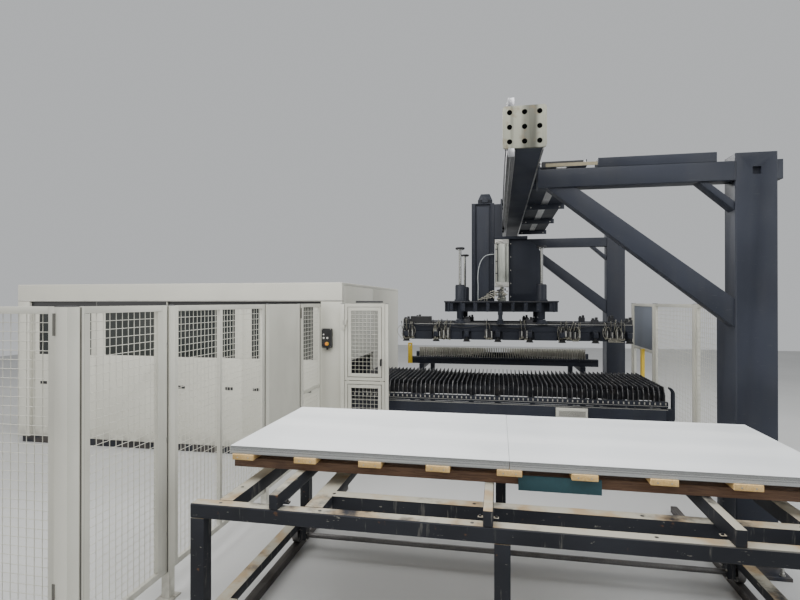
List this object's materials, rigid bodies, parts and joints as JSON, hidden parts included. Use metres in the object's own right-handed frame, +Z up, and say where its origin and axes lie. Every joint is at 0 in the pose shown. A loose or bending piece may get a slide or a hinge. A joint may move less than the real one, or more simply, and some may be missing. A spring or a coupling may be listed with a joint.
{
  "type": "laser cutting machine",
  "caption": "Flat-bed laser cutting cell with a slatted shuttle pallet, a cantilever gantry with a vacuum sheet loader, a material cart, an unloading comb and a mesh guard fence.",
  "frame": {"origin": "on the floor, below the middle of the whole cell's bounding box", "axes": "+X along the pallet's travel, away from the laser enclosure; +Y from the material cart to the unloading comb; +Z up"},
  "size_m": [9.02, 7.92, 3.603],
  "materials": {
    "anthracite": "satin dark blue-grey paint, scuffed",
    "beige": "satin light beige paint",
    "pale_grey": "satin light grey paint",
    "slat_steel": "dark scaled steel with worn edges",
    "tine_steel": "dull pale steel",
    "rail_steel": "machined steel, lightly oiled",
    "floor_steel": "dark worn steel",
    "rod_chrome": "ground and chromed",
    "bare_aluminium": "satin anodised",
    "yellow_paint": "gloss yellow paint",
    "grey_sheet": "matt blue-grey paint",
    "wheel_iron": "turned tread, dark web",
    "tinted_glass": "dark tinted safety pane",
    "black_housing": "fine textured black",
    "orange_plastic": "moulded, glossy",
    "white_plastic": "moulded, glossy",
    "black_plastic": "moulded, glossy",
    "cup_rubber": "matt black rubber",
    "valve_body": "cast, satin",
    "dark_timber": "stained brown, rough sawn",
    "pale_timber": "planed softwood",
    "coated_sheet": "pale protective coating",
    "teal_board": "plain matt board"
  },
  "bodies": {
    "machine": {"machine_bed": "anthracite", "enclosure_panels": "beige", "fascia": "beige", "windows": "tinted_glass", "control_box": "black_housing", "changer_frame": "anthracite", "pallet_rails": "rail_steel", "junction_box": "beige", "chain_guide": "anthracite", "comb_rails": "anthracite", "near_column": "anthracite", "far_column": "anthracite", "arms": "anthracite", "braces": "anthracite", "runway_beam": "anthracite", "end_plate": "pale_grey", "guide_rails": "rail_steel", "cable_tray": "anthracite", "floor_rails": "floor_steel", "fence_frames": "beige", "left_mesh": "beige", "front_mesh": "beige", "right_mesh": "beige", "solid_panel": "beige", "grey_panel": "grey_sheet", "fence_marker": "yellow_paint"},
    "carriage": {"carriage": "anthracite", "left_mast": "anthracite", "right_hood": "anthracite", "cylinder": "bare_aluminium", "spider_plate": "anthracite", "air_hose": "white_plastic"},
    "lift": {"guide_rods": "rod_chrome", "vacuum_frame": "anthracite", "suction_cups": "cup_rubber", "vacuum_valves": "valve_body", "vacuum_hose": "white_plastic"},
    "pallet": {"pallet_frame": "anthracite", "slats": "slat_steel"},
    "comb": {"comb_frame": "anthracite", "comb_tines": "tine_steel", "comb_marker": "yellow_paint"},
    "cart": {"cart_frame": "anthracite", "cart_bearers": "anthracite", "stock_beams": "dark_timber", "battens": "pale_timber", "sheet_stacks": "coated_sheet", "stock_board": "teal_board"},
    "front_wheels": {"front_wheelset": "wheel_iron"},
    "back_wheels": {"back_wheelset": "wheel_iron"},
    "gate": {"gate": "beige"},
    "latch": {"gate_latch": "black_plastic"},
    "narrow_door": {"narrow_door": "beige"},
    "access_door": {"access_door": "beige"},
    "bridge": {"cutting_bridge": "pale_grey"},
    "head_slide": {"head_slide": "bare_aluminium"},
    "head": {"cutting_head": "bare_aluminium"},
    "emergency_stop": {"emergency_stop": "orange_plastic"},
    "start_button": {"start_button": "white_plastic"},
    "stop_button": {"stop_button": "white_plastic"}
  },
  "joints": [
    {"name": "carriage_travel", "type": "slide", "parent": "machine", "child": "carriage", "axis": [0, 1, 0], "range_m": [-3.61, 0]},
    {"name": "lift_travel", "type": "slide", "parent": "carriage", "child": "lift", "axis": [0, 0, 1], "range_m": [-0.345, 0]},
    {"name": "pallet_travel", "type": "slide", "parent": "machine", "child": "pallet", "axis": [1, 0, 0], "range_m": [-4, 0]},
    {"name": "comb_travel", "type": "slide", "parent": "machine", "child": "comb", "axis": [0, 1, 0], "range_m": [0, 0.4]},
    {"name": "cart_travel", "type": "slide", "parent": "machine", "child": "cart", "axis": [0, 1, 0], "range_m": [0, 0.6]},
    {"name": "front_wheels_spin", "type": "hinge", "parent": "cart", "child": "front_wheels", "pos_m": [2.395, -3.3, 0.1203], "axis": [1, 0, 0], "range_deg": [-580, 6]},
    {"name": "back_wheels_spin", "type": "hinge", "parent": "cart", "child": "back_wheels", "pos_m": [2.395, -2.08, 0.1203], "axis": [1, 0, 0], "range_deg": [-580, 6]},
    {"name": "gate_swing", "type": "hinge", "parent": "machine", "child": "gate", "pos_m": [0.475, 0.081, 1], "axis": [0, 0, 1], "range_deg": [-100, 0]},
    {"name": "latch_turn", "type": "hinge", "parent": "gate", "child": "latch", "pos_m": [0.951, 0.09, 1.33], "axis": [0, 1, 0], "range_deg": [0, 90]},
    {"name": "narrow_door_swing", "type": "hinge", "parent": "machine", "child": "narrow_door", "pos_m": [0.085, -0.47, 1], "axis": [0, 0, 1], "range_deg": [0, 95]},
    {"name": "access_door_travel", "type": "slide", "parent": "machine", "child": "access_door", "axis": [1, 0, 0], "range_m": [-1.1, 0]},
    {"name": "bridge_travel", "type": "slide", "parent": "machine", "child": "bridge", "axis": [1, 0, 0], "range_m": [0, 3.5]},
    {"name": "head_cross_travel", "type": "slide", "parent": "bridge", "child": "head_slide", "axis": [0, 1, 0], "range_m": [-0.1, 1.15]},
    {"name": "head_lift", "type": "slide", "parent": "head_slide", "child": "head", "axis": [0, 0, 1], "range_m": [-0.01, 0.1]},
    {"name": "emergency_stop_press", "type": "slide", "parent": "machine", "child": "emergency_stop", "axis": [0, 1, 0], "range_m": [0, 0.006], "stiffness_N_per_m": 600, "springref_m": -0.003},
    {"name": "start_press", "type": "slide", "parent": "machine", "child": "start_button", "axis": [0, 1, 0], "range_m": [0, 0.004], "stiffness_N_per_m": 300, "springref_m": -0.002},
    {"name": "stop_press", "type": "slide", "parent": "machine", "child": "stop_button", "axis": [0, 1, 0], "range_m": [0, 0.004], "stiffness_N_per_m": 300, "springref_m": -0.002}
  ],
  "couplings": [
    {"joint": "front_wheels_spin", "follows": "cart_travel", "rad_per_m": -16.667},
    {"joint": "back_wheels_spin", "follows": "cart_travel", "rad_per_m": -16.667}
  ]
}
